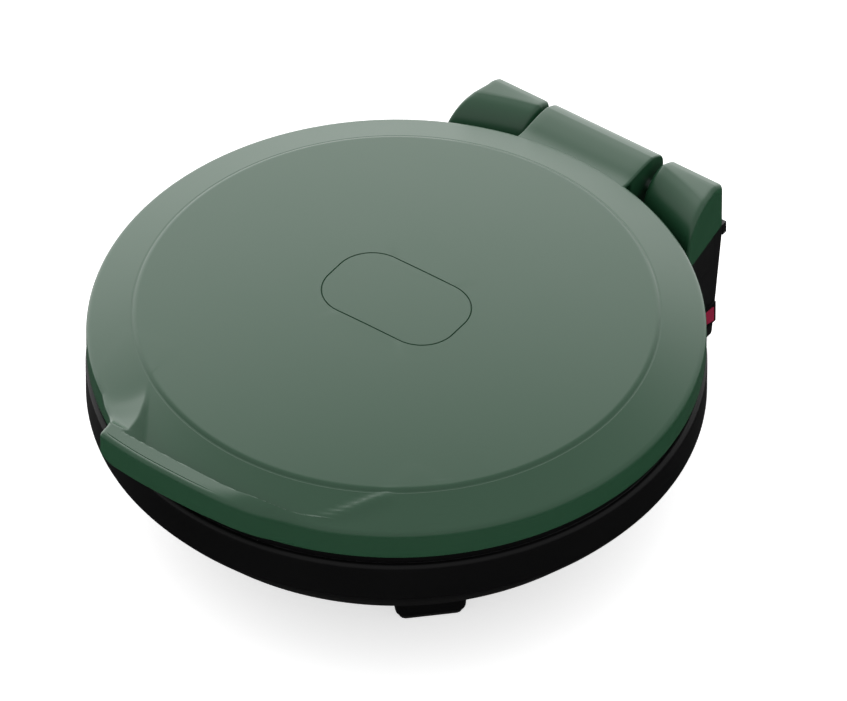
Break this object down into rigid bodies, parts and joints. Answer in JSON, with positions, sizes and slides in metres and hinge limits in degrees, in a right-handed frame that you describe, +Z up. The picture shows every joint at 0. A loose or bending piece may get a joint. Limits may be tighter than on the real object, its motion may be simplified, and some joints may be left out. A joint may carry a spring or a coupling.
{
  "type": "electric pancake pan",
  "caption": "Round countertop pancake pan with a green lid, lip handle, floating rear hinge, black bowl base, two non-stick plates and a side rocker switch.",
  "frame": {"origin": "on the surface that the pan stands on, under the middle of the whole object's box", "axes": "+Z up, the handle towards -Y and the hinge towards +Y, the switch on the +X side"},
  "size_m": [0.3366, 0.378, 0.1266],
  "materials": {
    "lid_green": "satin painted plastic",
    "black_plastic": "fine-textured black plastic",
    "rubber": "matt",
    "non_stick": "speckled non-stick coating on aluminium",
    "heater_steel": "oxidised steel sheath",
    "zinc_steel": "zinc plated",
    "reflector": "aluminised sheet",
    "control_body": "phenolic and ceramic",
    "slide_plastic": "acetal",
    "switch_red": "translucent red"
  },
  "bodies": {
    "base": {"left_hinge_cover": "lid_green", "right_hinge_cover": "lid_green", "base_shell": "black_plastic", "bottom_cover": "black_plastic", "rear_housing": "black_plastic", "switch_body": "black_plastic", "cord_gland": "rubber", "foot_front_left": "black_plastic", "foot_front_right": "black_plastic", "foot_rear_left": "black_plastic", "foot_rear_right": "black_plastic", "pad_front_left": "rubber", "pad_front_right": "rubber", "pad_rear_left": "rubber", "pad_rear_right": "rubber", "lower_pan": "non_stick", "lower_element": "heater_steel", "lower_element_clamps": "zinc_steel", "lower_heat_shield": "reflector", "lower_shield_screws": "zinc_steel", "lower_thermostat": "control_body", "lower_thermal_fuse": "control_body", "terminal_block": "control_body", "bottom_screws": "zinc_steel", "guide_screws": "zinc_steel", "left_axle_guide": "slide_plastic", "right_axle_guide": "slide_plastic"},
    "carriage": {"hinge_axle": "zinc_steel", "axle_clips": "zinc_steel", "left_slider": "slide_plastic", "right_slider": "slide_plastic"},
    "lid": {"lid_cover": "lid_green", "handle_cover": "lid_green", "hinge_centre_cover": "lid_green", "hinge_arm": "zinc_steel", "arm_screws": "zinc_steel", "lid_ring": "black_plastic", "lid_ring_screws": "zinc_steel", "upper_pan": "non_stick", "upper_element": "heater_steel", "upper_element_clamps": "zinc_steel", "upper_heat_shield": "reflector", "upper_shield_screws": "zinc_steel", "upper_thermostat": "control_body", "upper_thermal_fuse": "control_body"},
    "switch": {"switch_rocker": "switch_red"}
  },
  "joints": [
    {"name": "hinge_float", "type": "slide", "parent": "base", "child": "carriage", "axis": [0, 0, 1], "range_m": [0, 0.008]},
    {"name": "lid_hinge", "type": "hinge", "parent": "carriage", "child": "lid", "pos_m": [0, 0.175, 0.0875], "axis": [-1, 0, 0], "range_deg": [0, 105]},
    {"name": "switch_tip", "type": "hinge", "parent": "base", "child": "switch", "pos_m": [0.0744, 0.1669, 0.0175], "axis": [0, 0, 1], "range_deg": [0, 12]}
  ]
}
